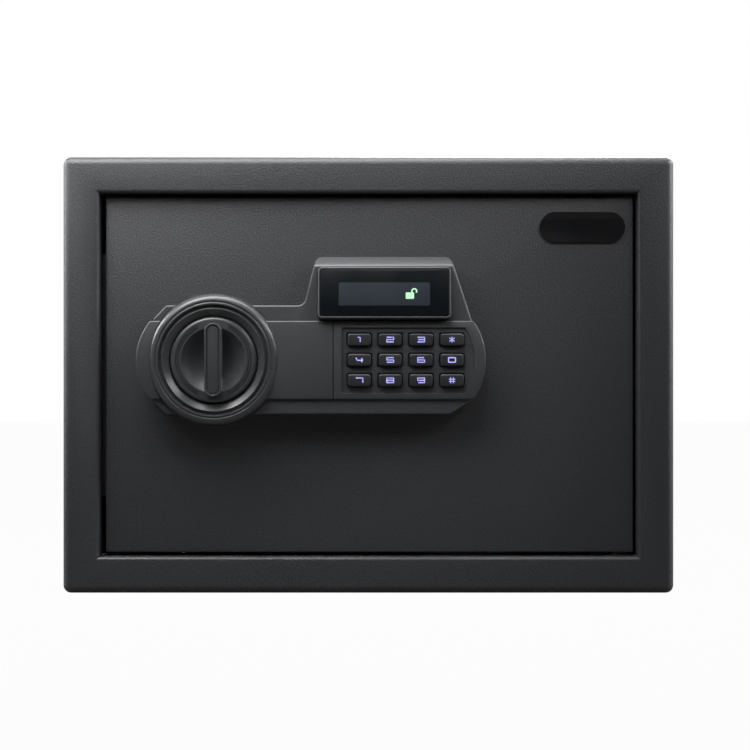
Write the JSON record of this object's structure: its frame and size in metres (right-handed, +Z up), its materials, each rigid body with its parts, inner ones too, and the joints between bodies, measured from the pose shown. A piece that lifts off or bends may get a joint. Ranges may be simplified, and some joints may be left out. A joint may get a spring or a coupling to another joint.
{
  "type": "keypad safe",
  "caption": "Compact steel safe with a recessed right-hinged door, a round turning knob in a stepped ring, and a moulded keypad unit with a display hump.",
  "frame": {"origin": "centre of the underside, midway between the sides and between the front frame and the back face", "axes": "+X to the right as seen from the front, the front faces -Y, +Z up"},
  "size_m": [0.35, 0.267, 0.25],
  "materials": {
    "powder_coat": "fine-grained powder coat, semi-matt",
    "moulded_plastic": "lightly grained moulding",
    "ring_plastic": "satin moulding",
    "key_plastic": "satin moulding",
    "gloss_black": "polished",
    "display_grey": "smooth",
    "steel": "turned",
    "dark_steel": "blackened",
    "zinc_steel": "zinc plated",
    "brass": "turned",
    "nylon": "black",
    "board_green": "solder mask",
    "felt": "needle felt",
    "cell_sleeve": "printed sleeve, left plain",
    "red_plastic": "satin moulding"
  },
  "bodies": {
    "safe_body": {"body_shell": "powder_coat", "front_frame": "powder_coat", "back_panel": "powder_coat", "floor_mat": "felt", "door_stop_strip": "powder_coat", "hinge_bush_top": "nylon", "hinge_bush_bottom": "nylon", "hinge_washer": "dark_steel"},
    "door": {"door_plate": "powder_coat", "door_frame": "powder_coat", "back_cover": "powder_coat", "hinge_block_bottom": "powder_coat", "hinge_block_top": "powder_coat", "keypad_housing": "moulded_plastic", "keypad_surround": "moulded_plastic", "display_bezel": "moulded_plastic", "knob_ring": "ring_plastic", "battery_box": "key_plastic", "display_glass": "gloss_black", "badge_plate": "gloss_black", "display_module": "display_grey", "hinge_pin_bottom": "dark_steel", "hinge_pin_top": "dark_steel", "guide_stud": "steel", "plunger_spring": "steel", "solenoid_body": "zinc_steel", "back_cover_screw_1": "zinc_steel", "back_cover_screw_2": "zinc_steel", "back_cover_screw_3": "zinc_steel", "back_cover_screw_4": "zinc_steel", "lock_body": "brass", "spindle_bush": "nylon", "circuit_board": "board_green", "battery_1": "cell_sleeve", "battery_2": "cell_sleeve", "battery_3": "cell_sleeve", "battery_4": "cell_sleeve"},
    "knob": {"knob": "ring_plastic", "knob_spindle": "steel"},
    "bolts": {"bolt_carriage": "zinc_steel", "bolt_lower": "steel", "bolt_upper": "steel"},
    "plunger": {"solenoid_plunger": "steel"},
    "lock_cylinder": {"lock_cylinder": "brass"},
    "key_cover": {"key_cover": "moulded_plastic"},
    "battery_cover": {"battery_cover": "key_plastic"},
    "reset_button": {"reset_button": "red_plastic"},
    "key_1": {"key_1": "key_plastic"},
    "key_2": {"key_2": "key_plastic"},
    "key_3": {"key_3": "key_plastic"},
    "key_star": {"key_star": "key_plastic"},
    "key_4": {"key_4": "key_plastic"},
    "key_5": {"key_5": "key_plastic"},
    "key_6": {"key_6": "key_plastic"},
    "key_0": {"key_0": "key_plastic"},
    "key_7": {"key_7": "key_plastic"},
    "key_8": {"key_8": "key_plastic"},
    "key_9": {"key_9": "key_plastic"},
    "key_hash": {"key_hash": "key_plastic"}
  },
  "joints": [
    {"name": "door_hinge", "type": "hinge", "parent": "safe_body", "child": "door", "pos_m": [0.1324, -0.1105, 0.125], "axis": [0, 0, 1], "range_deg": [0, 110]},
    {"name": "knob_turn", "type": "hinge", "parent": "door", "child": "knob", "pos_m": [-0.0877, -0.118, 0.1335], "axis": [0, -1, 0], "range_deg": [0, 90]},
    {"name": "bolt_throw", "type": "slide", "parent": "door", "child": "bolts", "axis": [-1, 0, 0], "range_m": [0, 0.016]},
    {"name": "plunger_pull", "type": "slide", "parent": "door", "child": "plunger", "axis": [0, 0, 1], "range_m": [0, 0.004], "stiffness_N_per_m": 200, "springref_m": -0.004, "deforming": ["plunger_spring"]},
    {"name": "cylinder_turn", "type": "hinge", "parent": "door", "child": "lock_cylinder", "pos_m": [-0.035, -0.118, 0.1335], "axis": [0, -1, 0], "range_deg": [0, 90]},
    {"name": "key_cover_pull", "type": "slide", "parent": "door", "child": "key_cover", "axis": [0, -1, 0], "range_m": [0, 0.025]},
    {"name": "battery_cover_slide", "type": "slide", "parent": "door", "child": "battery_cover", "axis": [-1, 0, 0], "range_m": [0, 0.068]},
    {"name": "reset_press", "type": "slide", "parent": "door", "child": "reset_button", "axis": [0, -1, 0], "range_m": [0, 0.0014], "stiffness_N_per_m": 400, "springref_m": -0.002},
    {"name": "key_1_press", "type": "slide", "parent": "door", "child": "key_1", "axis": [0, 1, 0], "range_m": [0, 0.001], "stiffness_N_per_m": 300, "springref_m": -0.002},
    {"name": "key_2_press", "type": "slide", "parent": "door", "child": "key_2", "axis": [0, 1, 0], "range_m": [0, 0.001], "stiffness_N_per_m": 300, "springref_m": -0.002},
    {"name": "key_3_press", "type": "slide", "parent": "door", "child": "key_3", "axis": [0, 1, 0], "range_m": [0, 0.001], "stiffness_N_per_m": 300, "springref_m": -0.002},
    {"name": "key_star_press", "type": "slide", "parent": "door", "child": "key_star", "axis": [0, 1, 0], "range_m": [0, 0.001], "stiffness_N_per_m": 300, "springref_m": -0.002},
    {"name": "key_4_press", "type": "slide", "parent": "door", "child": "key_4", "axis": [0, 1, 0], "range_m": [0, 0.001], "stiffness_N_per_m": 300, "springref_m": -0.002},
    {"name": "key_5_press", "type": "slide", "parent": "door", "child": "key_5", "axis": [0, 1, 0], "range_m": [0, 0.001], "stiffness_N_per_m": 300, "springref_m": -0.002},
    {"name": "key_6_press", "type": "slide", "parent": "door", "child": "key_6", "axis": [0, 1, 0], "range_m": [0, 0.001], "stiffness_N_per_m": 300, "springref_m": -0.002},
    {"name": "key_0_press", "type": "slide", "parent": "door", "child": "key_0", "axis": [0, 1, 0], "range_m": [0, 0.001], "stiffness_N_per_m": 300, "springref_m": -0.002},
    {"name": "key_7_press", "type": "slide", "parent": "door", "child": "key_7", "axis": [0, 1, 0], "range_m": [0, 0.001], "stiffness_N_per_m": 300, "springref_m": -0.002},
    {"name": "key_8_press", "type": "slide", "parent": "door", "child": "key_8", "axis": [0, 1, 0], "range_m": [0, 0.001], "stiffness_N_per_m": 300, "springref_m": -0.002},
    {"name": "key_9_press", "type": "slide", "parent": "door", "child": "key_9", "axis": [0, 1, 0], "range_m": [0, 0.001], "stiffness_N_per_m": 300, "springref_m": -0.002},
    {"name": "key_hash_press", "type": "slide", "parent": "door", "child": "key_hash", "axis": [0, 1, 0], "range_m": [0, 0.001], "stiffness_N_per_m": 300, "springref_m": -0.002}
  ],
  "couplings": [
    {"joint": "knob_turn", "follows": "bolt_throw", "rad_per_m": 98.175}
  ]
}
